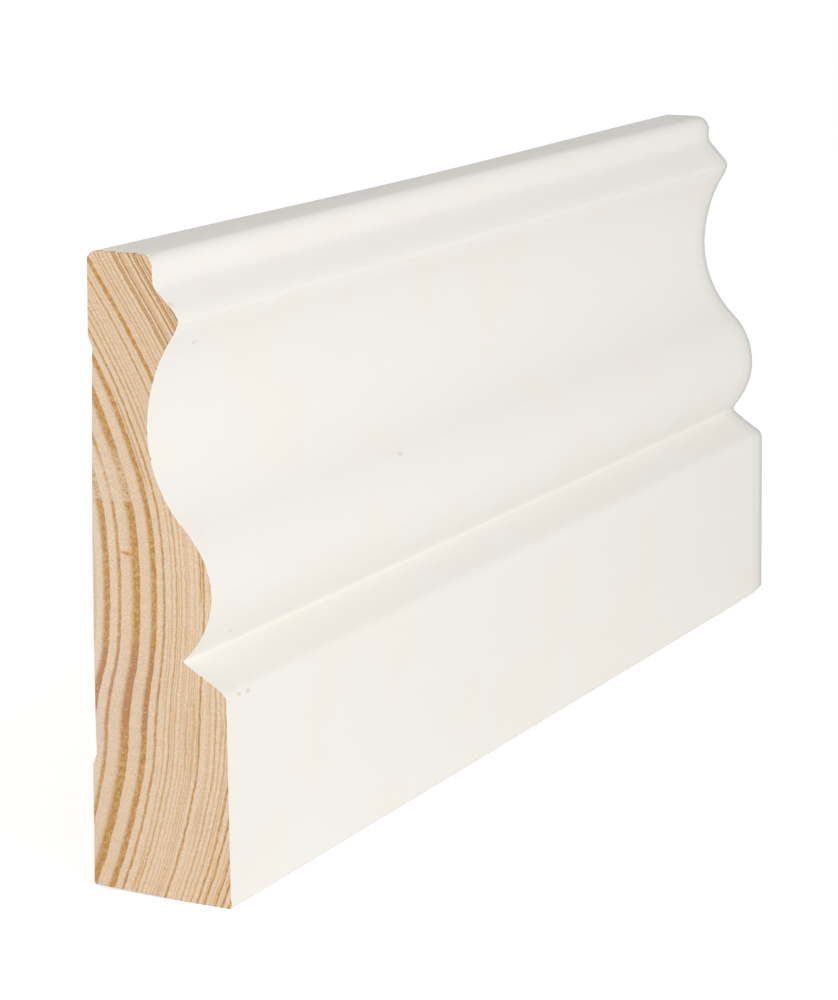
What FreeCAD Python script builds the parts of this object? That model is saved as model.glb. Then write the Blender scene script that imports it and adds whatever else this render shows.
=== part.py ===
# A short length of pine skirting board, moulded in one piece and painted on its face.
# From the floor up, the face is a flat plinth that leans back a little, a sloping
# weathering, a quirk, an ogee (a convex ovolo that runs into a hollow cove), a sharp
# ridge, a straight bevel, a small cove and a narrow upright fillet below the top edge.
# The back has a shallow relief between two flat lands, so that the board beds on an
# uneven wall.
#
# Millimetres. +X runs along the length, the moulded face looks along -Y, the back
# looks along +Y, and +Z is up. The origin is under the middle of the board, on the floor.

import FreeCAD, Part
from FreeCAD import Vector
import math
import os

# Overall
board_length = 210.0
board_height = 90.0
board_thickness = 22.0

# The moulding, from the top edge down. Depths are measured in from the plinth's foot.
# It hangs from the top edge, so a higher board has a higher plinth under the same moulding.
top_fillet_height = 3.3      # of the upright fillet, from the top edge to the small cove
top_fillet_depth = 12.3
small_cove_radius = 2.3
bevel_slope = 45.0           # degrees above level, from the ridge up to the small cove
ridge_depth = 7.6
cove_drop = 14.5             # of the cove's bottom below the ridge
cove_depth = 13.0
ovolo_drop = 22.6            # of the ovolo's crown below the cove's bottom
ovolo_depth = 2.9
ovolo_radius = 11.8
plinth_drop = 13.4           # of the plinth's top below the ovolo's crown
plinth_depth = 0.6           # of the plinth's top, as its face leans back
weathering_slope = 30.5      # degrees above level, from the plinth's top in to the quirk

# Relief in the back
relief_depth = 0.7
upper_land = 11.7            # height of the flat land above the relief
lower_land = 17.8            # height of the flat land below it
relief_run_out = 1.6         # height of each sloping shoulder

# Rounded arrises
top_back_radius = 1.3
top_front_radius = 1.6
ridge_radius = 0.9
quirk_radius = 0.3
plinth_top_radius = 2.0
plinth_foot_radius = 1.4
foot_back_radius = 0.5

# How near an edge lies to a corner of the section, or to the board's length, to count
closeness = 0.01


def section_point(depth, height):
    """A point of the section, by its depth behind the plinth's foot and its height."""
    return Vector(-board_length / 2, depth - board_thickness / 2, height)


def line(start, end):
    return Part.LineSegment(section_point(*start), section_point(*end)).toShape()


def arc(start, middle, end):
    points = [section_point(*point) for point in (start, middle, end)]
    return Part.Arc(*points).toShape()


def on_circle(centre, radius, degrees):
    """A point of a circle, by its angle from the way into the board, turning upwards."""
    turn = math.radians(degrees)
    return (centre[0] + radius * math.cos(turn), centre[1] + radius * math.sin(turn))


def bearing(centre, point):
    """The angle at which on_circle finds this point."""
    turn = math.atan2(point[1] - centre[1], point[0] - centre[0])
    return math.degrees(turn) % 360


def arc_about(centre, start, end):
    """The shorter arc from start to end about this centre."""
    radius = math.dist(centre, start)
    first = bearing(centre, start)
    sweep = (bearing(centre, end) - first + 180) % 360 - 180
    return arc(start, on_circle(centre, radius, first + sweep / 2), end)


def moulded_face():
    """The edges of the face from the top edge down to the plinth's foot, and its corners."""
    # The small cove turns the upright fillet into a straight bevel, which ends at the ridge.
    top_front = (top_fillet_depth, board_height)
    fillet_foot = (top_fillet_depth, board_height - top_fillet_height)
    small_cove_centre = (top_fillet_depth - small_cove_radius, fillet_foot[1])
    bevel_top = on_circle(small_cove_centre, small_cove_radius, bevel_slope - 90)
    bevel_rise = (bevel_top[0] - ridge_depth) * math.tan(math.radians(bevel_slope))
    ridge = (ridge_depth, bevel_top[1] - bevel_rise)

    # The cove's upper half ends at the ridge and comes down to the bottom upright.
    cove_bottom = (cove_depth, ridge[1] - cove_drop)
    upper_run = cove_depth - ridge_depth
    upper_radius = (cove_drop**2 + upper_run**2) / (2 * upper_run)
    upper_centre = (cove_depth - upper_radius, cove_bottom[1])

    # Its lower half and the ovolo meet in one smooth line, which settles their radii's sum.
    ovolo_centre = (ovolo_depth + ovolo_radius, cove_bottom[1] - ovolo_drop)
    ogee_run = cove_depth - ovolo_depth
    radii = (ovolo_drop**2 + ogee_run**2) / (2 * ogee_run)
    cove_centre = (cove_depth - (radii - ovolo_radius), cove_bottom[1])
    share = ovolo_radius / radii
    turn_over = tuple(a + share * (b - a) for a, b in zip(ovolo_centre, cove_centre))

    # The quirk is where the weathering, going in and up, meets the ovolo's circle.
    plinth_top = (plinth_depth, ovolo_centre[1] - plinth_drop)
    slope = math.radians(weathering_slope)
    way_in = (math.cos(slope), math.sin(slope))
    centre_depth = ovolo_centre[0] - plinth_depth
    along = centre_depth * way_in[0] + plinth_drop * way_in[1]
    aside = centre_depth * way_in[1] - plinth_drop * way_in[0]
    reach = along - math.sqrt(ovolo_radius**2 - aside**2)
    quirk = (plinth_top[0] + reach * way_in[0], plinth_top[1] + reach * way_in[1])
    foot = (0.0, 0.0)

    edges = [
        line(top_front, fillet_foot),
        arc_about(small_cove_centre, fillet_foot, bevel_top),
        line(bevel_top, ridge),
        arc_about(upper_centre, ridge, cove_bottom),
        arc_about(cove_centre, cove_bottom, turn_over),
        arc_about(ovolo_centre, turn_over, quirk),
        line(quirk, plinth_top),
        line(plinth_top, foot),
    ]
    corners = {
        top_front: top_front_radius,
        ridge: ridge_radius,
        quirk: quirk_radius,
        plinth_top: plinth_top_radius,
        foot: plinth_foot_radius,
    }
    return edges, corners


def round_long_edges(board, corners):
    """Rounds the edges that run the board's whole length through each of these corners."""
    for corner, radius in corners.items():
        place = Part.Vertex(section_point(*corner))
        found = [
            edge
            for edge in board.Edges
            if abs(edge.Length - board_length) < closeness
            and edge.distToShape(place)[0] < closeness
        ]
        board = board.makeFillet(radius, found)
    return board


def back_relief():
    """What the planer takes out of the back, with a sloping shoulder at each land."""
    low, high = lower_land, board_height - upper_land
    floor = board_thickness - relief_depth
    outside = board_thickness + relief_depth
    outline = [
        (floor, low + relief_run_out),
        (floor, high - relief_run_out),
        (outside, high + relief_run_out),
        (outside, low - relief_run_out),
    ]
    ring = [section_point(*point) for point in outline]
    face = Part.Face(Part.makePolygon(ring + ring[:1]))
    return face.extrude(Vector(board_length, 0, 0))


def make_board():
    """The moulded section, run to length, with its arrises rounded and its back relieved."""
    face_edges, corners = moulded_face()
    foot_front = (0.0, 0.0)
    foot_back = (board_thickness, 0.0)
    top_back = (board_thickness, board_height)
    top_front = (top_fillet_depth, board_height)
    edges = face_edges + [
        line(foot_front, foot_back),
        line(foot_back, top_back),
        line(top_back, top_front),
    ]
    corners[foot_back] = foot_back_radius
    corners[top_back] = top_back_radius
    section = Part.Face(Part.Wire(edges))
    board = section.extrude(Vector(board_length, 0, 0))
    board = round_long_edges(board, corners)
    return board.cut(back_relief())


os.makedirs("parts", exist_ok=True)
skirting_board = make_board()
skirting_board.exportStep("parts/skirting_board.step")
print("skirting_board", skirting_board.isValid(), len(skirting_board.Solids),
      round(skirting_board.Volume), skirting_board.BoundBox)
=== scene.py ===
# A short length of painted pine skirting board, standing on its bottom edge as it is photographed.
# Metres, in the frame of the CAD model: +X along the length, the moulded face looks along -Y,
# the bare back along +Y and the foot stands on Z = 0. The near end is the one at -X.

import bmesh
import bpy
import math
from mathutils import Matrix, Vector, noise


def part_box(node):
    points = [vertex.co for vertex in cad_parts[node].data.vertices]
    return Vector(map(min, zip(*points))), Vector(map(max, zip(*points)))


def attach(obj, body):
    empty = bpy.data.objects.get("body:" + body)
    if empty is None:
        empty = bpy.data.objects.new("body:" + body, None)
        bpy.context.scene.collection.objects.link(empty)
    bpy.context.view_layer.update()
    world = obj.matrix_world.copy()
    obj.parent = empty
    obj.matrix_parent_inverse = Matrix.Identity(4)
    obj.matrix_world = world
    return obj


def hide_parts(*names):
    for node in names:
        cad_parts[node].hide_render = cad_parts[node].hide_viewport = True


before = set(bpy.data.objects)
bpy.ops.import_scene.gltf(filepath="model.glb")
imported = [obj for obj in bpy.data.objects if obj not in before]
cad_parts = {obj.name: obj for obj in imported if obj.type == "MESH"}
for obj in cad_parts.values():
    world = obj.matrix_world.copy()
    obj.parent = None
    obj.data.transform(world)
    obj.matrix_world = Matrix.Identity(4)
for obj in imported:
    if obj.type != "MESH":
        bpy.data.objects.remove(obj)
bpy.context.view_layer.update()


# The board: one piece of slab-sawn pine, run through a moulder and sawn square to length.
# Face, top and foot are sprayed with a satin off-white paint. Both ends and the back are bare.

millimetre = 0.001
board_low, board_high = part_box("skirting_board")
near_end = board_low.x
far_end = board_high.x
board_length = (far_end - near_end) / millimetre
back_depth = (board_high.y - board_low.y) / millimetre

# How finely the solid is cut up before it is reshaped, in millimetres. The cuts are counted
# from the near end, from the far end and, for the quirk, from the plinth's foot.
row_height = 1.0 * millimetre
lengthwise_pieces = 14
near_cuts = (0.15, 0.5, 1.0, 1.6, 2.4, 4.0, 7.0)
far_cuts = (0.08, 0.2, 0.4, 0.65, 0.95, 1.3, 1.7, 3.0, 5.0)
quirk_cuts = (5.9, 6.2, 6.8, 7.0, 7.2)
flatness = 1e-5
same_corner = 0.001
closest_corners = 0.04
most_corners = 50                    # of any face but a whole sawn end
flat_bend = math.radians(0.1)
sharp_bend = math.radians(21)
squarely, mostly, partly = 0.999, 0.9, 0.5    # how far a normal points one way


def cut_across(mesh, point, normal):
    """A row of edges all round the board, where this plane meets it."""
    everything = mesh.verts[:] + mesh.edges[:] + mesh.faces[:]
    bmesh.ops.bisect_plane(
        mesh, geom=everything, dist=flatness * millimetre, plane_co=point, plane_no=normal
    )


def between(value, start, end, low, high):
    """A number that goes evenly from low to high as value goes from start to end."""
    share = min(max((value - start) / (end - start), 0.0), 1.0)
    return low + (high - low) * share


# The faults of this one board, in millimetres. A pair is a stretch over which a fault comes in
# or goes out, as heights and depths of the drawn section or as lengths from the near end.
# First, how much deeper the face lies than drawn, by height, at the near end and the far one.
deeper_at_near = (
    (32, 0.22), (40, 0.05), (44, 0.08), (51, 0.45), (58, 0.05), (68, -0.2), (79, -0.36),
    (83, -0.52), (86, -0.45),
)
deeper_at_far = ((30, 0.0), (34, -0.4), (38, -0.1), (46, 0.0), (72, 0.0), (83, 0.5), (88, 0.25))
face_fades = (13.5, 19.5)
quirk_sag = 0.36
sag_comes, sag_goes, sag_fades = (28, 31), (35.5, 39), (8, 11)
ridge_place = (7.6, 80.8)            # depth and height, as for the quirk
blunt_reach, blunt_depth = 2.3, 0.44
quirk_place = (7.5, 34.6)
fill_depth, fill_comes = 0.6, (0.2, 4)
fill_reaches, fill_narrows = (4.2, 2.6), (34.4, 35.0)
top_comes = (86, 89)
front_falls, front_fall_grows, front_fades = (0.14, 0.34), (0, 3), (15.4, 12.4)
far_fall, far_fall_comes = 0.45, (206.5, 210)
back_falls, back_fall_comes, back_fades = (0.03, 0.54), (0, 6), (17.5, 21.5)
foot_lift, lift_comes, lift_goes = 0.42, (8, 21.5), (0, 3)
drawn_foot_radius, foot_radius, foot_rounds = 1.4, 0.4, (204, 209)
relief_low, relief_high, relief_reach = 17, 79, 1
cup_share, cup_middle, cup_reach = 0.55, 46, 32
worn_reach, worn_depth = 1.7, 0.10   # of the far end's outline
ragged_top, ragged_elsewhere, ragged_scale = 0.12, 0.03, 1.3
at_the_cut = 0.01
chipped_reach = 2.4                  # of the paint beside the near cut
bare_reach = 1.2                     # of the bare back, in from its lands


def along_list(value, pairs):
    """The second number of the pairs, read off evenly between their first numbers."""
    found = pairs[0][1]
    for (start, low), (end, high) in zip(pairs, pairs[1:]):
        if value > start:
            found = between(value, start, end, low, high)
    return found


def as_found(along, depth, height, outward):
    """Where a point of the drawn section lies on this board, all in millimetres."""
    # The board is a little in winding, and its quirk sags towards the near end.
    share = along / board_length
    lean = along_list(height, deeper_at_near) * (1 - share) + along_list(height, deeper_at_far) * share
    moved_depth = depth + lean * between(depth, *face_fades, 1.0, 0.0)
    sag = between(height, *sag_comes, 0.0, quirk_sag) * between(height, *sag_goes, 1.0, 0.0) * (1 - share)
    moved_height = height - sag * between(depth, *sag_fades, 1.0, 0.0)

    # The ridge is blunt, and the paint has run into the quirk.
    from_ridge = math.dist((depth, height), ridge_place) / blunt_reach
    if from_ridge < 1:
        moved_depth += blunt_depth * (1 - from_ridge ** 2) ** 2
    fill_reach = between(height, *fill_narrows, *fill_reaches)
    from_quirk = math.dist((depth, height), quirk_place) / fill_reach
    if from_quirk < 1:
        moved_depth -= fill_depth * (1 - from_quirk) ** 2 * between(along, *fill_comes, 0.0, 1.0)

    # The top falls away a little to the front, and to the back at mid-length.
    near_top = between(height, *top_comes, 0.0, 1.0)
    front_fall = between(along, *front_fall_grows, *front_falls)
    front_fall += between(along, *far_fall_comes, 0.0, far_fall)
    moved_height -= front_fall * between(depth, *front_fades, 0.0, 1.0) ** 2 * near_top
    back_fall = back_falls[0] + back_falls[1] * math.sin(math.pi * share) ** 2
    back_fall *= between(depth, *back_fades, 0.0, 1.0)
    moved_height -= back_fall * near_top * between(along, *back_fall_comes, 0.0, 1.0)

    # Its foot was planed a little out of square, and the corner below the plinth is crisp up to
    # the last few millimetres before the far end.
    lift = foot_lift * between(depth, *lift_comes, 0.0, 1.0)
    moved_height += lift * between(height, *lift_goes, 1.0, 0.0)
    if max(depth, height) < drawn_foot_radius:
        turn = math.atan2(drawn_foot_radius - height, drawn_foot_radius - depth)
        radius = between(along, *foot_rounds, foot_radius, drawn_foot_radius)
        moved_depth = radius * (1 - math.cos(turn))
        moved_height = radius * (1 - math.sin(turn))

    # It has cupped too, so the relief in its back is shallower at mid-height.
    if depth > back_depth - relief_reach and relief_low < height < relief_high:
        cup = cup_share * max(0.0, 1 - ((height - cup_middle) / cup_reach) ** 2)
        moved_depth += (back_depth - depth) * cup

    # The far end's outline is worn round.
    from_far = board_length - along
    if from_far < worn_reach:
        inner = 1 - from_far / worn_reach
        wear = worn_depth * (1 - math.sqrt(1 - inner ** 2))
        moved_depth -= wear * outward.y
        moved_height -= wear * outward.z

    # The saw left the near outline a little ragged, and more so along the top edge.
    if along < at_the_cut:
        rough = ragged_top if outward.z > mostly else ragged_elsewhere
        tear = rough * max(0.0, noise.noise(Vector((depth, 0.0, height)) * ragged_scale))
        moved_depth -= tear * outward.y
        moved_height -= tear * outward.z
    return moved_depth, moved_height


board_mesh = bmesh.new()
board_mesh.from_mesh(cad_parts["skirting_board"].data)
bmesh.ops.remove_doubles(board_mesh, verts=board_mesh.verts, dist=same_corner * millimetre)
bmesh.ops.dissolve_limit(
    board_mesh, angle_limit=flat_bend, verts=board_mesh.verts, edges=board_mesh.edges
)

# Rows up the faces, across the top and the foot, and along the length, closer near the ends.
rows_up = round((board_high.z - board_low.z) / row_height)
for row in range(1, rows_up):
    cut_across(board_mesh, (0, 0, board_low.z + (row - 0.5) * row_height), (0, 0, 1))
rows_through = round((board_high.y - board_low.y) / row_height)
for row in range(1, rows_through):
    cut_across(board_mesh, (0, board_low.y + (row - 0.5) * row_height, 0), (0, 1, 0))
for cut in quirk_cuts:
    cut_across(board_mesh, (0, board_low.y + cut * millimetre, 0), (0, 1, 0))
for cut in near_cuts:
    cut_across(board_mesh, (near_end + cut * millimetre, 0, 0), (1, 0, 0))
for cut in far_cuts:
    cut_across(board_mesh, (far_end - cut * millimetre, 0, 0), (1, 0, 0))
for piece in range(1, lengthwise_pieces):
    place = near_end + (far_end - near_end) * piece / lengthwise_pieces
    cut_across(board_mesh, (place, 0, 0), (1, 0, 0))

# Corners closer than this would trade places when they are moved.
bmesh.ops.remove_doubles(board_mesh, verts=board_mesh.verts, dist=closest_corners * millimetre)

# Each sawn end becomes one flat face again.
for direction in (-1, 1):
    end_faces = [face for face in board_mesh.faces if face.normal.x * direction > squarely]
    bmesh.ops.dissolve_faces(board_mesh, faces=end_faces)

outward_at = []
for corner in board_mesh.verts:
    sides = [face.normal for face in corner.link_faces if abs(face.normal.x) < partly]
    outward_at.append(sum(sides, Vector()).normalized())
for corner, outward in zip(board_mesh.verts, outward_at):
    along = (corner.co.x - near_end) / millimetre
    depth, height = as_found(
        along, (corner.co.y - board_low.y) / millimetre, corner.co.z / millimetre, outward
    )
    corner.co.y = board_low.y + depth * millimetre
    corner.co.z = height * millimetre
whole_ends = [face for face in board_mesh.faces if len(face.verts) > most_corners]
bmesh.ops.triangulate(board_mesh, faces=whole_ends, ngon_method="BEAUTY")

# Materials by place: 0 paint, 1 bare pine, 2 the chipped edge of the paint, 3 torn fibres.
paint_face, bare_face, chipped_face, torn_face = 0, 1, 2, 3
for face in board_mesh.faces:
    middle = face.calc_center_median()
    face.normal_update()
    face.smooth = True
    if abs(face.normal.x) > mostly:
        face.material_index = bare_face
    elif face.normal.y > partly and middle.y > board_high.y - bare_reach * millimetre:
        face.material_index = bare_face
    elif middle.x - near_end < chipped_reach * millimetre:
        face.material_index = chipped_face
    else:
        face.material_index = paint_face
for edge in board_mesh.edges:
    if len(edge.link_faces) == 2 and edge.calc_face_angle(0) > sharp_bend:
        edge.smooth = False
    if any(abs(face.normal.x) > squarely for face in edge.link_faces):
        edge.smooth = False

# Fibres that the saw tore loose along the near end's top edge, each a tapering splinter.
# Millimetres along, in and up, from where it is rooted to its tip, and its thickness.
torn_fibres = (
    ((0.10, 12.9, 89.75), (1.9, 12.2, 89.93), 0.3),
    ((0.08, 12.75, 89.7), (1.7, 13.5, 89.86), 0.22),
    ((0.05, 14.3, 89.86), (0.9, 14.7, 89.94), 0.10),
    ((0.05, 15.1, 89.88), (0.7, 14.6, 89.95), 0.09),
    ((0.05, 16.4, 89.88), (0.5, 16.0, 89.95), 0.07),
    ((0.05, 18.3, 89.88), (0.45, 18.6, 89.95), 0.06),
)
splinter_sides = 7
splinter_taper = 0.25                # its tip's thickness, as a share of its root's


def on_board(along, depth, height):
    """The point that lies this many millimetres along, in and up."""
    return Vector((near_end + along * millimetre, board_low.y + depth * millimetre, height * millimetre))


for root, tip, thickness in torn_fibres:
    rooted = on_board(*root)
    ended = on_board(*tip)
    way = ended - rooted
    turn = way.to_track_quat("Z", "Y").to_matrix().to_4x4()
    made = bmesh.ops.create_cone(
        board_mesh,
        cap_ends=True,
        segments=splinter_sides,
        radius1=thickness * millimetre / 2,
        radius2=thickness * millimetre / 2 * splinter_taper,
        depth=way.length,
        matrix=Matrix.Translation((rooted + ended) / 2) @ turn,
    )
    for face in {face for corner in made["verts"] for face in corner.link_faces}:
        face.material_index = torn_face
        face.smooth = True

board_data = bpy.data.meshes.new("moulded_board")
board_mesh.to_mesh(board_data)
board_mesh.free()
board = bpy.data.objects.new("moulded_board", board_data)
bpy.context.scene.collection.objects.link(board)


def wire(tree, value, socket):
    """Joins a socket to another, or writes a value on it."""
    if isinstance(value, bpy.types.NodeSocket):
        tree.links.new(value, socket)
    else:
        socket.default_value = value


def sums(tree, operation, *values, clamp=False):
    """One step of arithmetic on numbers and sockets."""
    node = tree.nodes.new("ShaderNodeMath")
    node.operation = operation
    node.use_clamp = clamp
    for value, socket in zip(values, node.inputs):
        wire(tree, value, socket)
    return node.outputs[0]


def ramp(tree, value, start, end, low=0.0, high=1.0, smooth=True):
    """A number that goes from low to high as value goes from start to end."""
    node = tree.nodes.new("ShaderNodeMapRange")
    node.interpolation_type = "SMOOTHSTEP" if smooth else "LINEAR"
    node.clamp = not smooth          # a smooth step never leaves its range anyway
    wire(tree, value, node.inputs["Value"])
    wire(tree, start, node.inputs["From Min"])
    wire(tree, end, node.inputs["From Max"])
    wire(tree, low, node.inputs["To Min"])
    wire(tree, high, node.inputs["To Max"])
    return node.outputs["Result"]


def blend_colours(tree, share, first, second, blend_type="MIX"):
    """Two colours mixed by a share from 0 to 1."""
    node = tree.nodes.new("ShaderNodeMix")
    node.data_type = "RGBA"
    node.blend_type = blend_type
    wire(tree, share, node.inputs["Factor"])
    wire(tree, first, node.inputs["A"])
    wire(tree, second, node.inputs["B"])
    return next(socket for socket in node.outputs if socket.type == "RGBA")


def vector_of(tree, x, y, z):
    node = tree.nodes.new("ShaderNodeCombineXYZ")
    for value, socket in zip((x, y, z), node.inputs):
        wire(tree, value, socket)
    return node.outputs[0]


def mottle(tree, place, per_millimetre, detail=2.0, roughness=0.5):
    """A noise from 0 to 1 whose lumps are about a millimetre over per_millimetre across."""
    node = tree.nodes.new("ShaderNodeTexNoise")
    wire(tree, place, node.inputs["Vector"])
    node.inputs["Scale"].default_value = per_millimetre
    node.inputs["Detail"].default_value = detail
    node.inputs["Roughness"].default_value = roughness
    return node.outputs["Fac"]


def place_in_board(tree):
    """Millimetres from the near end, in from the plinth's foot, and up from the floor."""
    coordinate = tree.nodes.new("ShaderNodeTexCoord")
    split = tree.nodes.new("ShaderNodeSeparateXYZ")
    tree.links.new(coordinate.outputs["Object"], split.inputs[0])
    per_metre = 1 / millimetre
    along = sums(tree, "MULTIPLY_ADD", split.outputs["X"], per_metre, -per_metre * near_end)
    depth = sums(tree, "MULTIPLY_ADD", split.outputs["Y"], per_metre, -per_metre * board_low.y)
    height = sums(tree, "MULTIPLY", split.outputs["Z"], per_metre)
    return along, depth, height


# The line that every growth ring follows up the near end: a height, and how much further in
# the ring lies there than where it comes nearest to the face, both in millimetres.
ring_shape = (
    (0, 7.6), (2, 6.9), (5, 5.8), (8, 4.9), (11, 4.05), (14, 3.35), (18, 2.5), (21, 2.15),
    (24, 2.0), (27, 1.7), (30, 1.2), (33, 0.6), (36, 0.25), (40, 0.03), (43, 0.0), (47, 0.1),
    (51, 0.4), (54, 0.8), (57, 1.5), (60, 2.4), (63, 3.5), (66, 4.7), (69, 6.0), (72, 7.45),
    (75, 9.1), (78, 10.85), (81, 12.7), (84, 14.7), (87, 16.7), (90, 18.6),
)
# The dark summer wood of each ring: how far in its sharp side comes nearest to the face, its
# width, and how dark it is. It ends sharply towards the bark, at the front, and fades in
# towards the heart.
summer_wood = (
    (-7.3, 0.35, 0.7), (-6.5, 0.3, 0.6), (-5.75, 0.25, 0.5),
    (-5.1, 0.34, 0.95), (-4.15, 0.36, 1.0), (-3.15, 0.34, 0.95), (-2.3, 0.2, 0.5),
    (-1.65, 0.34, 0.95), (-0.6, 0.34, 0.9), (0.35, 0.24, 0.7), (1.05, 0.22, 0.55),
    (1.75, 0.26, 0.7), (2.5, 0.18, 0.4), (3.05, 0.16, 0.35),
    (4.0, 0.30, 0.95), (4.75, 0.16, 0.4), (5.4, 0.2, 0.5),
    (6.3, 0.18, 0.4), (6.85, 0.18, 0.45), (7.5, 0.22, 0.6), (8.25, 0.26, 0.75),
    (9.0, 0.22, 0.55), (10.15, 0.38, 0.9), (11.5, 0.9, 1.0),
    (14.1, 1.25, 1.0), (17.1, 0.55, 0.85), (18.9, 1.05, 0.95), (21.1, 0.35, 0.35),
    (22.6, 1.2, 0.9), (24.9, 0.9, 0.85),
)
# Some rings are wider, or show only, over a part of the height. The last four numbers are the
# heights at which they start to show, show in full, begin to fade and are gone.
summer_wood_between = (
    (3.55, 0.62, 1.0, 62.0, 70.0, 95.0, 99.0), (9.1, 0.26, 0.7, 56.0, 64.0, 84.0, 90.0),
    (5.45, 0.34, 0.85, 58.0, 66.0, 95.0, 99.0), (4.45, 0.28, 0.9, 40.0, 45.0, 50.0, 56.0),
    (-4.6, 0.24, 0.8, 76.0, 80.0, 95.0, 99.0), (-3.75, 0.24, 0.85, 76.0, 80.0, 95.0, 99.0),
    (-0.95, 0.30, 0.9, 74.0, 78.0, 95.0, 99.0), (-2.0, 0.22, 0.7, 76.0, 80.0, 95.0, 99.0),
    (2.3, 0.26, 0.6, 66.0, 72.0, 95.0, 99.0), (11.0, 0.32, 0.7, 56.0, 60.0, 68.0, 74.0),
    (2.7, 0.2, 0.5, 6.0, 14.0, 30.0, 38.0), (0.0, 0.2, 0.5, 4.0, 8.0, 20.0, 26.0),
    (5.05, 0.18, 0.6, -9.0, -5.0, 34.0, 42.0), (5.8, 0.2, 0.5, -9.0, -5.0, 34.0, 42.0),
    (6.6, 0.16, 0.5, 20.0, 28.0, 52.0, 58.0), (7.95, 0.16, 0.5, 14.0, 22.0, 44.0, 50.0),
    (9.5, 0.16, 0.5, 26.0, 30.0, 38.0, 42.0), (-2.75, 0.2, 0.6, -9.0, -5.0, 8.0, 14.0),
)
spring_wood = (0.77, 0.59, 0.42, 1)
spring_wood_back = (0.80, 0.64, 0.48, 1)
spring_wood_front = (0.815, 0.625, 0.44, 1)
spring_wood_top = (0.77, 0.58, 0.40, 1)
summer_wood_edge = (0.62, 0.36, 0.14, 1)
summer_wood_dark = (0.50, 0.235, 0.055, 1)
summer_wood_red = (0.50, 0.225, 0.10, 1)
summer_wood_tight = (0.46, 0.24, 0.075, 1)
summer_wood_gold = (0.67, 0.41, 0.15, 1)
rosy_wood = (0.84, 0.61, 0.50, 1)
olive_wood = (0.76, 0.63, 0.38, 1)
resin_light = (0.82, 0.68, 0.50, 1)

pine = bpy.data.node_groups.new("pine_wood", "ShaderNodeTree")
pine.interface.new_socket(name="Colour", in_out="OUTPUT", socket_type="NodeSocketColor")
pine.interface.new_socket(name="Relief", in_out="OUTPUT", socket_type="NodeSocketFloat")
pine_out = pine.nodes.new("NodeGroupOutput")
along, depth, height = place_in_board(pine)

shape_curve = pine.nodes.new("ShaderNodeFloatCurve")
points = shape_curve.mapping.curves[0].points
curve_height, curve_depth = 90.0, 20.0    # the curve itself runs from 0 to 1
points[0].location = (ring_shape[0][0] / curve_height, ring_shape[0][1] / curve_depth)
points[1].location = (ring_shape[-1][0] / curve_height, ring_shape[-1][1] / curve_depth)
for ring_height, ring_depth in ring_shape[1:-1]:
    points.new(ring_height / curve_height, ring_depth / curve_depth)
shape_curve.mapping.update()
wire(pine, sums(pine, "DIVIDE", height, curve_height), shape_curve.inputs["Value"])
bend = sums(pine, "MULTIPLY", shape_curve.outputs[0], curve_depth)

# Below the quirk the rings stand a little wider apart.
low_spread = 0.11
low_shift = 1.54
low_part = ramp(pine, height, 34.0, 26.0, smooth=False)
spread = sums(pine, "MULTIPLY_ADD", low_part, low_spread, 1.0)
behind = sums(pine, "SUBTRACT", depth, bend)
behind = sums(pine, "MULTIPLY_ADD", low_part, low_shift, behind)
ring_depth_at = sums(pine, "DIVIDE", behind, spread)

# The fibres run along the board, so every fleck on an end is a long streak on the back.
fibre_share = 0.025                  # of the length, which draws the noise out along the board
slant = 0.6                          # keeps the noise's own grid off the ends' upright
fibre = vector_of(
    pine,
    sums(pine, "MULTIPLY", along, fibre_share),
    sums(pine, "MULTIPLY_ADD", height, slant, depth),
    sums(pine, "MULTIPLY_ADD", depth, -slant, height),
)

# By the far end the rings have drifted this far, more or less, and fibres shake them a little.
ring_drift, drift_spread = 1.5, 6.0
ring_shake = 0.30
slow_share, slow_depth_share = 0.35, 0.4
slow_fibre = vector_of(
    pine, sums(pine, "MULTIPLY", along, slow_share), sums(pine, "MULTIPLY", depth, slow_depth_share), height
)
wander = sums(pine, "SUBTRACT", mottle(pine, slow_fibre, 0.035, detail=1.0), 0.5)
wander = sums(pine, "MULTIPLY_ADD", wander, drift_spread, ring_drift)
drift = sums(pine, "MULTIPLY", sums(pine, "DIVIDE", along, board_length), wander)
ring_depth_at = sums(pine, "ADD", ring_depth_at, drift)
shake = sums(pine, "SUBTRACT", mottle(pine, fibre, 0.6, detail=1.5), 0.5)
ring_depth_at = sums(pine, "MULTIPLY_ADD", shake, ring_shake, ring_depth_at)

ring_edge = (-0.05, 0.07)            # millimetres about a ring's place, where it turns dark
ring_fade = (0.6, 1.45)              # shares of its width, between which it turns pale again


def ring_band(tree, place, width, darkness):
    """One ring's summer wood: sharp at its place, dark for most of its width, then fading."""
    front = ramp(tree, ring_depth_at, place + ring_edge[0], place + ring_edge[1])
    fade_start, fade_end = (place + share * width for share in ring_fade)
    fade = ramp(tree, ring_depth_at, fade_start, fade_end, darkness, 0.0)
    return sums(tree, "MULTIPLY", front, fade)


summer = None
for place, width, darkness in summer_wood:
    band = ring_band(pine, place, width, darkness)
    summer = sums(pine, "MAXIMUM", summer, band) if summer else band
for place, width, darkness, start, full, last, end in summer_wood_between:
    here = sums(pine, "MULTIPLY", ramp(pine, height, start, full), ramp(pine, height, last, end, 1.0, 0.0))
    band = sums(pine, "MULTIPLY", ring_band(pine, place, width, darkness), here)
    summer = sums(pine, "MAXIMUM", summer, band)

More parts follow.
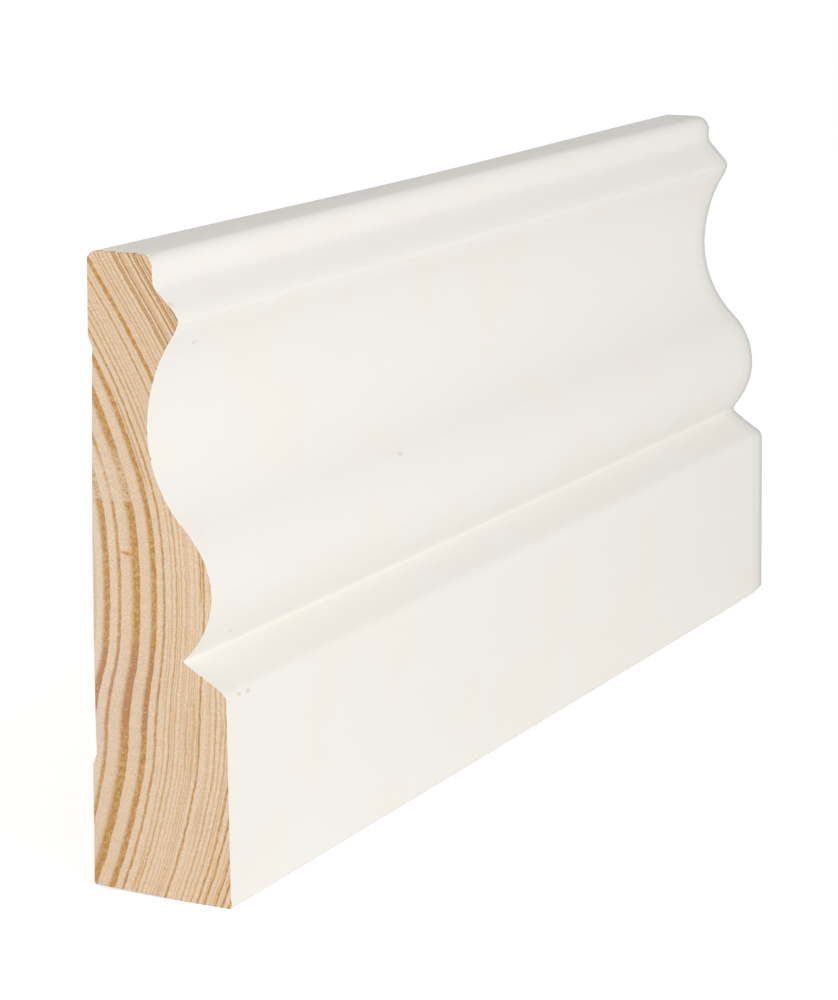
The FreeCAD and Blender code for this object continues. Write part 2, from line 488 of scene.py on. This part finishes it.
# Between them, in the tight part, run fine lines that are too many to place one by one.
line_share = 0.03                    # of the height, which draws the noise out along the rings
line_darkness = 0.62
line_place = vector_of(pine, ring_depth_at, sums(pine, "MULTIPLY", height, line_share), 0.0)
fine_lines = mottle(pine, line_place, 2.1, detail=2.0, roughness=0.7)
fine_lines = ramp(pine, fine_lines, 0.55, 0.66, 0.0, line_darkness)
fine_lines = sums(pine, "MULTIPLY", fine_lines, ramp(pine, ring_depth_at, 10.5, 9.0))
fine_lines = sums(pine, "MULTIPLY", fine_lines, ramp(pine, height, 70.0, 56.0, 0.15, 1.0))
summer = sums(pine, "MAXIMUM", summer, fine_lines)

# The fibres differ a little in colour, and the saw's teeth left faint marks across them.
fleck = sums(pine, "SUBTRACT", mottle(pine, fibre, 2.8, detail=2.0, roughness=0.7), 0.5)
streak = sums(pine, "SUBTRACT", mottle(pine, fibre, 0.8, detail=3.0), 0.5)
hue = mottle(pine, fibre, 1.15, detail=3.0, roughness=0.7)
saw_place = vector_of(
    pine, sums(pine, "MULTIPLY", along, 0.15), sums(pine, "MULTIPLY", depth, 0.09), height
)
saw_mark = sums(pine, "SUBTRACT", mottle(pine, saw_place, 2.6, detail=2.0), 0.5)

# Near the end's widest rings the saw rubbed a patch pale and left it speckled.
near_side = ramp(pine, along, 0.02, 0.15, 1.0, 0.0)
rubbed = sums(pine, "MULTIPLY", ramp(pine, height, 55.4, 56.0), ramp(pine, height, 60.0, 65.0, 1.0, 0.0))
rubbed = sums(pine, "MULTIPLY", rubbed, ramp(pine, ring_depth_at, 12.6, 13.4))
rubbed = sums(pine, "MULTIPLY", rubbed, near_side)
rubbed_summer = sums(pine, "MULTIPLY", summer, ramp(pine, fleck, -0.10, 0.12, 0.15, 0.95))
rubbed_away = sums(pine, "SUBTRACT", rubbed_summer, summer)
summer = sums(pine, "ADD", summer, sums(pine, "MULTIPLY", rubbed, rubbed_away))

# A short crack beside the widest ring, which rises a little towards the back.
crack_start, crack_rise = 46.9, 0.10
crack_darkness = 0.9
crack_height = sums(pine, "MULTIPLY_ADD", ring_depth_at, crack_rise, crack_start)
crack_gap = sums(pine, "ABSOLUTE", sums(pine, "SUBTRACT", height, crack_height))
crack = sums(pine, "MULTIPLY", ramp(pine, ring_depth_at, 14.6, 15.1), ramp(pine, ring_depth_at, 17.7, 16.4))
crack_width = ramp(pine, ring_depth_at, 17.2, 15.2, 0.2, 0.75)
crack = sums(pine, "MULTIPLY", crack, ramp(pine, crack_gap, crack_width, 0.05))
crack = sums(pine, "MULTIPLY", sums(pine, "MULTIPLY", crack, near_side), crack_darkness)
summer = sums(pine, "MAXIMUM", summer, crack)
fleck_in_summer = 1.3
summer = sums(pine, "MULTIPLY", summer, sums(pine, "MULTIPLY_ADD", fleck, fleck_in_summer, 1.0), clamp=True)

# Paler behind the widest rings, warmer in the tight ones.
front_wood = blend_colours(pine, ramp(pine, height, 48.0, 64.0), spring_wood_front, spring_wood_top)
spring = blend_colours(pine, ramp(pine, ring_depth_at, 8.0, 13.0), front_wood, spring_wood)
spring = blend_colours(pine, ramp(pine, ring_depth_at, 15.0, 21.0), spring, spring_wood_back)
hue_strength = 0.6
spring = blend_colours(pine, ramp(pine, hue, 0.51, 0.66, 0.0, hue_strength), spring, rosy_wood)
spring = blend_colours(pine, ramp(pine, hue, 0.49, 0.34, 0.0, hue_strength), spring, olive_wood)
red_strength = 0.85
red_share = sums(pine, "MULTIPLY", ramp(pine, height, 20.0, 26.0), ramp(pine, height, 33.0, 38.0, 1.0, 0.0))
red_share = sums(pine, "MULTIPLY", red_share, ramp(pine, ring_depth_at, 11.0, 11.6))
red_share = sums(pine, "MULTIPLY", red_share, red_strength)
gold_share = ramp(pine, hue, 0.42, 0.60, 0.0, 0.7)
deepest = blend_colours(pine, gold_share, summer_wood_dark, summer_wood_gold)
deepest = blend_colours(pine, red_share, deepest, summer_wood_red)
tight = sums(pine, "MULTIPLY", ramp(pine, height, 66.0, 78.0), ramp(pine, ring_depth_at, 1.5, -1.0))
deepest = blend_colours(pine, tight, deepest, summer_wood_tight)
late = blend_colours(pine, ramp(pine, summer, 0.2, 0.95), summer_wood_edge, deepest)
wood = blend_colours(pine, summer, spring, late)

# Resin ducts show as pale specks, most of them in the summer wood.
duct = ramp(pine, mottle(pine, fibre, 3.5, detail=0.0), 0.70, 0.77)
duct = sums(pine, "MULTIPLY", duct, ramp(pine, summer, 0.1, 0.6, 0.2, 0.8))
wood = blend_colours(pine, duct, wood, resin_light)

fleck_contrast, saw_mark_contrast, streak_contrast = 0.65, 0.16, 0.10
shade = sums(pine, "MULTIPLY_ADD", fleck, fleck_contrast, 1.0)
shade = sums(pine, "MULTIPLY_ADD", saw_mark, saw_mark_contrast, shade)
shade = sums(pine, "MULTIPLY_ADD", streak, streak_contrast, shade)
grey = pine.nodes.new("ShaderNodeCombineColor")
for channel in grey.inputs:
    wire(pine, shade, channel)
wood = blend_colours(pine, 1.0, wood, grey.outputs[0], "MULTIPLY")
wire(pine, wood, pine_out.inputs["Colour"])
summer_rise, fleck_rise = 0.6, 0.8
relief = sums(pine, "MULTIPLY_ADD", summer, summer_rise, sums(pine, "MULTIPLY", fleck, fleck_rise))
wire(pine, relief, pine_out.inputs["Relief"])


def shader_in(material):
    """The material's tree and its main shader, with the nodes cleared of anything else."""
    material.use_nodes = True
    tree = material.node_tree
    tree.nodes.clear()
    shader = tree.nodes.new("ShaderNodeBsdfPrincipled")
    output = tree.nodes.new("ShaderNodeOutputMaterial")
    tree.links.new(shader.outputs[0], output.inputs["Surface"])
    return tree, shader


def raise_surface(tree, shader, height_in_millimetres, strength):
    """Makes the surface look as if it stood this high."""
    node = tree.nodes.new("ShaderNodeBump")
    node.inputs["Distance"].default_value = millimetre
    node.inputs["Strength"].default_value = strength
    wire(tree, height_in_millimetres, node.inputs["Height"])
    tree.links.new(node.outputs[0], shader.inputs["Normal"])


# Bare pine, sawn at the ends and planed at the back.
bare_shine = 0.25
wood_relief = 0.03                   # millimetres
bare_pine = bpy.data.materials.new("bare_pine")
tree, shader = shader_in(bare_pine)
wood_node = tree.nodes.new("ShaderNodeGroup")
wood_node.node_tree = pine
along, depth, height = place_in_board(tree)

# A little paint drifted over the back's arrises. The noise has to pass a lower mark there.
mark_at_arris, mark_inside = 0.36, 0.74
thickest_mist, mist_gain = 0.85, 5.0
mist_place = vector_of(tree, sums(tree, "MULTIPLY", along, 0.5), depth, height)
mist = mottle(tree, mist_place, 1.8, detail=4.0, roughness=0.6)
mark_above = ramp(tree, height, 89.6, 86.8, mark_at_arris, mark_inside)
mark_below = ramp(tree, height, 0.4, 2.4, mark_at_arris, mark_inside)
mark = sums(tree, "MINIMUM", mark_above, mark_below)
mist_share = ramp(tree, mist, mark, 1.0, 0.0, mist_gain, smooth=False)
mist_share = sums(tree, "MINIMUM", mist_share, thickest_mist, clamp=True)
mist_share = sums(tree, "MULTIPLY", mist_share, ramp(tree, depth, 20.0, 20.8))

# None of it reached the sawn ends, which were cut later.
from_near = sums(tree, "ABSOLUTE", along)
from_far = sums(tree, "ABSOLUTE", sums(tree, "SUBTRACT", along, board_length))
from_cut = sums(tree, "MINIMUM", from_near, from_far)
mist_share = sums(tree, "MULTIPLY", mist_share, ramp(tree, from_cut, 0.02, 0.06))
off_white = (0.90, 0.872, 0.826, 1)
misted_wood = blend_colours(tree, mist_share, wood_node.outputs["Colour"], off_white)
wire(tree, misted_wood, shader.inputs["Base Color"])
wire(tree, ramp(tree, mist, 0.3, 0.7, 0.62, 0.78), shader.inputs["Roughness"])
shader.inputs["Specular IOR Level"].default_value = bare_shine
surface = sums(tree, "MULTIPLY", wood_node.outputs["Relief"], wood_relief)
raise_surface(tree, shader, surface, strength=0.6)

# The paint: a smooth sprayed coat with a faint orange peel and a few nibs of dust under it.
# Each nib has its place in millimetres along, in and up, and its size.
nibs = (
    (8.1, 10.0, 77.1, 0.26), (64.6, 6.15, 51.8, 0.3), (9.5, 5.3, 36.7, 0.28),
    (3.7, 0.85, 29.6, 0.24), (6.1, 0.8, 29.45, 0.28), (0.75, 9.5, 83.35, 0.30),
)
# the grey of each nib: its dust, and partly the painted shade of its bump
dust_and_shade_grey = (0.60, 0.58, 0.54, 1)
nib_squeeze = 0.45                   # each is drawn out along the board
nib_foot, nib_crown = 1.6, 0.3       # shares of its size, where it starts and ends to rise
# the grey of the painted shade round the far end
painted_shade_grey = (0.56, 0.59, 0.56, 1)
# the white of the painted highlight along the near cut
painted_highlight_white = (0.95, 0.94, 0.92, 1)
paint_shine = 0.06
peel_rise, run_rise, nib_rise = 0.012, 0.006, 0.12    # millimetres
paint = bpy.data.node_groups.new("satin_paint", "ShaderNodeTree")
paint.interface.new_socket(name="Colour", in_out="OUTPUT", socket_type="NodeSocketColor")
paint.interface.new_socket(name="Roughness", in_out="OUTPUT", socket_type="NodeSocketFloat")
paint.interface.new_socket(name="Height", in_out="OUTPUT", socket_type="NodeSocketFloat")
paint_out = paint.nodes.new("NodeGroupOutput")
along, depth, height = place_in_board(paint)
place = vector_of(paint, along, depth, height)
cloud = mottle(paint, place, 0.05, detail=2.0)
peel = mottle(paint, place, 0.9, detail=2.0, roughness=0.4)
brushed_place = vector_of(paint, sums(paint, "MULTIPLY", along, 0.03), depth, height)
runs = mottle(paint, brushed_place, 1.1, detail=2.0)
warm_white = (0.905, 0.872, 0.815, 1)
cool_white = (0.90, 0.876, 0.835, 1)
coat = blend_colours(paint, ramp(paint, cloud, 0.3, 0.7), warm_white, cool_white)
nib_place = vector_of(paint, sums(paint, "MULTIPLY", along, nib_squeeze), depth, height)
nib = None
for nib_along, nib_depth, nib_height, nib_size in nibs:
    gap = paint.nodes.new("ShaderNodeVectorMath")
    gap.operation = "DISTANCE"
    wire(paint, nib_place, gap.inputs[0])
    gap.inputs[1].default_value = (nib_along * nib_squeeze, nib_depth, nib_height)
    here = ramp(paint, gap.outputs["Value"], nib_size * nib_foot, nib_size * nib_crown)
    nib = sums(paint, "MAXIMUM", nib, here) if nib else here
# Each nib is painted half grey: partly its dust, partly painted shade beside its bump.
coat = blend_colours(paint, sums(paint, "MULTIPLY", nib, 0.5), coat, dust_and_shade_grey)
# Along the near cut the coat is painted lighter, a painted highlight along that edge.
coat = blend_colours(paint, ramp(paint, along, 0.45, 0.1, 0.0, 0.5), coat, painted_highlight_white)
# Round the worn far end the coat is painted grey: painted shade where the rounded end turns away from the
# lamps.
coat = blend_colours(paint, ramp(paint, along, 203.0, 208.5, 0.0, 0.18), coat, painted_shade_grey)
coat = blend_colours(paint, ramp(paint, along, 207.2, 209.7, 0.0, 0.7), coat, painted_shade_grey)
wire(paint, coat, paint_out.inputs["Colour"])
wire(paint, ramp(paint, runs, 0.25, 0.75, 0.50, 0.60), paint_out.inputs["Roughness"])
surface = sums(paint, "MULTIPLY_ADD", peel, peel_rise, sums(paint, "MULTIPLY", runs, run_rise))
wire(paint, sums(paint, "MULTIPLY_ADD", nib, nib_rise, surface), paint_out.inputs["Height"])

painted_pine = bpy.data.materials.new("painted_pine")
tree, shader = shader_in(painted_pine)
coat_node = tree.nodes.new("ShaderNodeGroup")
coat_node.node_tree = paint
wire(tree, coat_node.outputs["Colour"], shader.inputs["Base Color"])
wire(tree, coat_node.outputs["Roughness"], shader.inputs["Roughness"])
shader.inputs["Specular IOR Level"].default_value = paint_shine
raise_surface(tree, shader, coat_node.outputs["Height"], strength=0.5)

# Beside the near cut the same coat is chipped, and the wood shows in the chips.
coat_thickness = 0.05                # millimetres
chipped_paint = bpy.data.materials.new("chipped_paint_edge")
tree, shader = shader_in(chipped_paint)
coat_node = tree.nodes.new("ShaderNodeGroup")
coat_node.node_tree = paint
wood_node = tree.nodes.new("ShaderNodeGroup")
wood_node.node_tree = pine
along, depth, height = place_in_board(tree)
chip_place = vector_of(tree, sums(tree, "MULTIPLY", along, 0.3), depth, height)
chips = mottle(tree, chip_place, 1.6, detail=3.0, roughness=0.6)
chip_depth = ramp(tree, chips, 0.60, 0.80, 0.0, 0.4, smooth=False)

# Along the top edge the fibres took more of the paint with them.
top_chips = mottle(tree, chip_place, 0.9, detail=3.0, roughness=0.7)
top_chip = ramp(tree, top_chips, 0.40, 0.72, 0.05, 1.5, smooth=False)
top_chip = sums(tree, "MULTIPLY", top_chip, ramp(tree, height, 89.3, 89.8))
chip_depth = sums(tree, "MAXIMUM", chip_depth, top_chip)
paint_here = ramp(tree, sums(tree, "SUBTRACT", along, chip_depth), -0.05, 0.05)
chipped_coat = blend_colours(tree, paint_here, wood_node.outputs["Colour"], coat_node.outputs["Colour"])
wire(tree, chipped_coat, shader.inputs["Base Color"])
wire(tree, ramp(tree, paint_here, 0.0, 1.0, 0.7, 0.4), shader.inputs["Roughness"])
shader.inputs["Specular IOR Level"].default_value = paint_shine
raise_surface(tree, shader, sums(tree, "MULTIPLY", paint_here, coat_thickness), strength=0.5)

# The torn fibres, greyer where paint and dirt still cling to them.
soiled_fibre = (0.58, 0.57, 0.34, 1)
clean_fibre = (0.82, 0.80, 0.60, 1)
torn_fibre = bpy.data.materials.new("torn_fibre")
tree, shader = shader_in(torn_fibre)
along, depth, height = place_in_board(tree)
clinging = mottle(tree, vector_of(tree, along, depth, height), 2.2, detail=2.0)
fibre_colour = blend_colours(tree, ramp(tree, clinging, 0.4, 0.6), soiled_fibre, clean_fibre)
wire(tree, fibre_colour, shader.inputs["Base Color"])
shader.inputs["Roughness"].default_value = 0.75
shader.inputs["Specular IOR Level"].default_value = bare_shine

for material in (painted_pine, bare_pine, chipped_paint, torn_fibre):
    board.data.materials.append(material)
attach(board, "root")
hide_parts("skirting_board")


# The floor: a plain pale studio floor. To the camera it is as white as the background,
# and it keeps the board's own soft shadow.

floor_reach = 4.0                    # metres, from the middle to each side
floor_clearance = 0.02 * millimetre
paper_white = (0.92, 0.92, 0.92, 1)
paper_glow = 0.52
floor_mesh = bmesh.new()
bmesh.ops.create_grid(floor_mesh, x_segments=1, y_segments=1, size=floor_reach)
bmesh.ops.translate(floor_mesh, verts=floor_mesh.verts, vec=(0, 0, -floor_clearance))
floor_data = bpy.data.meshes.new("studio_floor")
floor_mesh.to_mesh(floor_data)
floor_mesh.free()
floor = bpy.data.objects.new("studio_floor", floor_data)
bpy.context.scene.collection.objects.link(floor)
floor_paper = bpy.data.materials.new("floor_paper")
floor_paper.use_nodes = True
tree = floor_paper.node_tree
tree.nodes.clear()


def seen_directly(tree):
    """1 for what the camera sees, also by reflection or through glass, and 0 for other light."""
    path = tree.nodes.new("ShaderNodeLightPath")
    seen = sums(tree, "MAXIMUM", path.outputs["Is Camera Ray"], path.outputs["Is Glossy Ray"])
    return sums(tree, "MAXIMUM", seen, path.outputs["Is Transmission Ray"])


paper = tree.nodes.new("ShaderNodeBsdfDiffuse")
paper.inputs["Color"].default_value = paper_white
glow = tree.nodes.new("ShaderNodeEmission")
wire(tree, sums(tree, "MULTIPLY", seen_directly(tree), paper_glow), glow.inputs["Strength"])
both = tree.nodes.new("ShaderNodeAddShader")
output = tree.nodes.new("ShaderNodeOutputMaterial")
tree.links.new(paper.outputs[0], both.inputs[0])
tree.links.new(glow.outputs[0], both.inputs[1])
tree.links.new(both.outputs[0], output.inputs["Surface"])
floor.data.materials.append(floor_paper)


# The studio: even light from all round, one large soft lamp before the moulded face and a
# smaller one beyond the near end, both a little above the board, so its top is in half shade.

world = bpy.data.worlds.new("studio_light")
bpy.context.scene.world = world
world.use_nodes = True
tree = world.node_tree
tree.nodes.clear()
surround = tree.nodes.new("ShaderNodeBackground")
surround.inputs["Color"].default_value = (1, 1, 1, 1)
ambient = 0.525                      # what lights the board, where the camera sees 1
brightness = ramp(tree, seen_directly(tree), 0.0, 1.0, ambient, 1.0, smooth=False)
wire(tree, brightness, surround.inputs["Strength"])
output = tree.nodes.new("ShaderNodeOutputWorld")
tree.links.new(surround.outputs[0], output.inputs["Surface"])

# Name, place and side in metres, and watts of each lamp, which looks at the board's middle.
board_middle = Vector((0, 0, (board_low.z + board_high.z) / 2))
for lamp_name, lamp_place, lamp_side, lamp_watts in (
    ("face_lamp", (-0.262, -0.719, 0.24), 0.6, 2.62),
    ("end_lamp", (-0.780, -0.138, 0.156), 0.5, 1.9),
):
    lamp_data = bpy.data.lights.new(lamp_name, "AREA")
    lamp_data.shape = "SQUARE"
    lamp_data.size = lamp_side
    lamp_data.energy = lamp_watts
    lamp = bpy.data.objects.new(lamp_name, lamp_data)
    lamp.location = lamp_place
    lamp.rotation_euler = (Vector(lamp_place) - board_middle).to_track_quat("Z", "Y").to_euler()
    bpy.context.scene.collection.objects.link(lamp)


# The camera: close in front of the near end, a little above the board and to its left.
# The lens is shifted down by a tenth, which keeps the board's uprights nearer to upright.

camera_data = bpy.data.cameras.new("camera")
camera_data.lens = 124.72
camera_data.sensor_width = 36.0
camera_data.shift_y = -0.1
camera_data.clip_start = 0.01
camera = bpy.data.objects.new("camera", camera_data)
camera.location = (-0.50461, -0.23118, 0.15524)
camera.rotation_euler = [math.radians(turn) for turn in (79.5655, -0.275, -64.2711)]
bpy.context.scene.collection.objects.link(camera)
bpy.context.scene.camera = camera
bpy.context.scene.view_settings.view_transform = "Standard"


bpy.context.view_layer.update()
